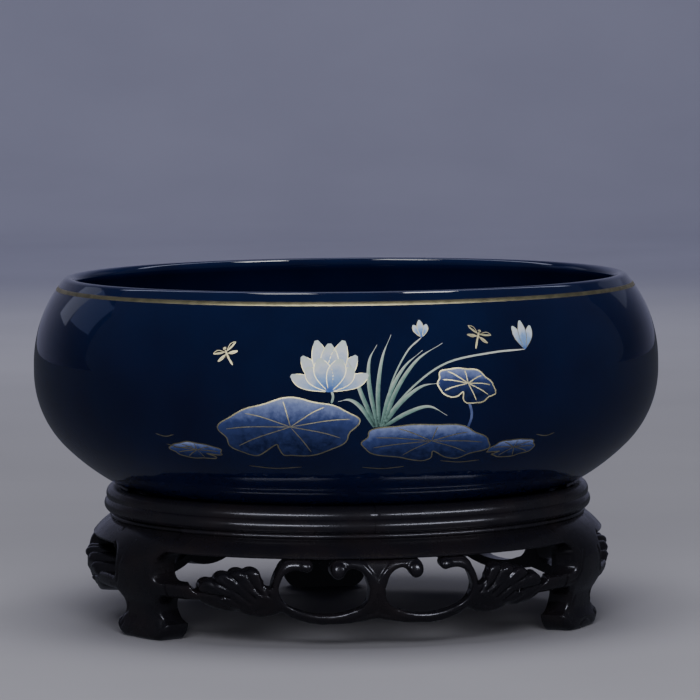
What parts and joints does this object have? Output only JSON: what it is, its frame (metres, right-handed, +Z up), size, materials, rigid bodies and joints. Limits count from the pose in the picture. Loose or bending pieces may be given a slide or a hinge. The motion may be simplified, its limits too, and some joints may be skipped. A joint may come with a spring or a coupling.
{
  "type": "jardiniere on stand",
  "caption": "Wide round glazed planter bowl with a turned-in shoulder, on a round carved wooden stand with knee legs and openwork scroll aprons; the bowl lifts off.",
  "frame": {"origin": "on the floor, on the bowl's axis", "axes": "+Z up through the bowl's mouth; the middle of the front apron faces -Y; +X to the viewer's right"},
  "size_m": [0.4, 0.3998, 0.2204],
  "materials": {
    "navy_glaze": "gloss",
    "black_lacquer": "semi-gloss lacquer",
    "bare_wood": "bare"
  },
  "bodies": {
    "stand": {"ring_segment_left": "black_lacquer", "ring_segment_right": "black_lacquer", "ring_segment_back": "black_lacquer", "ring_spline_front": "bare_wood", "ring_spline_right_rear": "bare_wood", "ring_spline_left_rear": "bare_wood", "stand_panel": "black_lacquer", "panel_batten": "black_lacquer", "leg_left": "black_lacquer", "leg_right": "black_lacquer", "leg_back": "black_lacquer", "frieze_front": "black_lacquer", "frieze_right_rear": "black_lacquer", "frieze_left_rear": "black_lacquer", "carving_front": "black_lacquer", "carving_right_rear": "black_lacquer", "carving_left_rear": "black_lacquer", "frieze_dowels": "bare_wood", "spur_pegs": "bare_wood", "scroll_pins": "bare_wood"},
    "bowl": {"bowl": "navy_glaze"}
  },
  "joints": [
    {"name": "bowl_lift", "type": "slide", "parent": "stand", "child": "bowl", "axis": [0, 0, 1], "range_m": [0, 0.12]}
  ]
}
